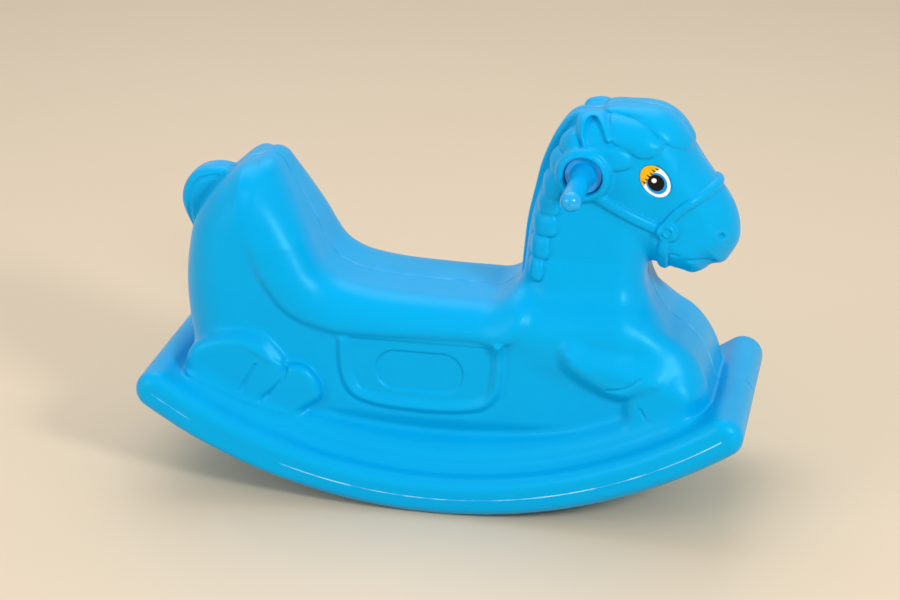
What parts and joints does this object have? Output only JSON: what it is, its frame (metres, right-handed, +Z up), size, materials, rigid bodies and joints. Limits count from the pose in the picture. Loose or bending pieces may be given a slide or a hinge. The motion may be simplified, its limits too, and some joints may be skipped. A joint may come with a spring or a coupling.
{
  "type": "rocking horse",
  "caption": "Hollow one-piece plastic rocking horse on a curved base with side rails, a moulded saddle with a tall back, a turning handle bar through the head and oval eye labels.",
  "frame": {"origin": "middle of the base where its curved underside touches the floor", "axes": "+X towards the horse's nose, +Y to its left, +Z up"},
  "size_m": [0.7798, 0.3478, 0.5226],
  "materials": {
    "blow_moulded_body": "fine-grained satin HDPE, bright blue",
    "moulded_handle": "smooth glossy moulded plastic, bright blue",
    "printed_label": "printed vinyl label with an orange, white, blue and black eye"
  },
  "bodies": {
    "horse": {"body_shell": "blow_moulded_body", "eye_label_right": "printed_label", "eye_label_left": "printed_label"},
    "handle_bar": {"handle_right": "moulded_handle", "handle_left": "moulded_handle"}
  },
  "joints": [
    {"name": "handle_spin", "type": "hinge", "parent": "horse", "child": "handle_bar", "pos_m": [0.1755, 0, 0.44475], "axis": [0, 1, 0], "continuous": true}
  ]
}
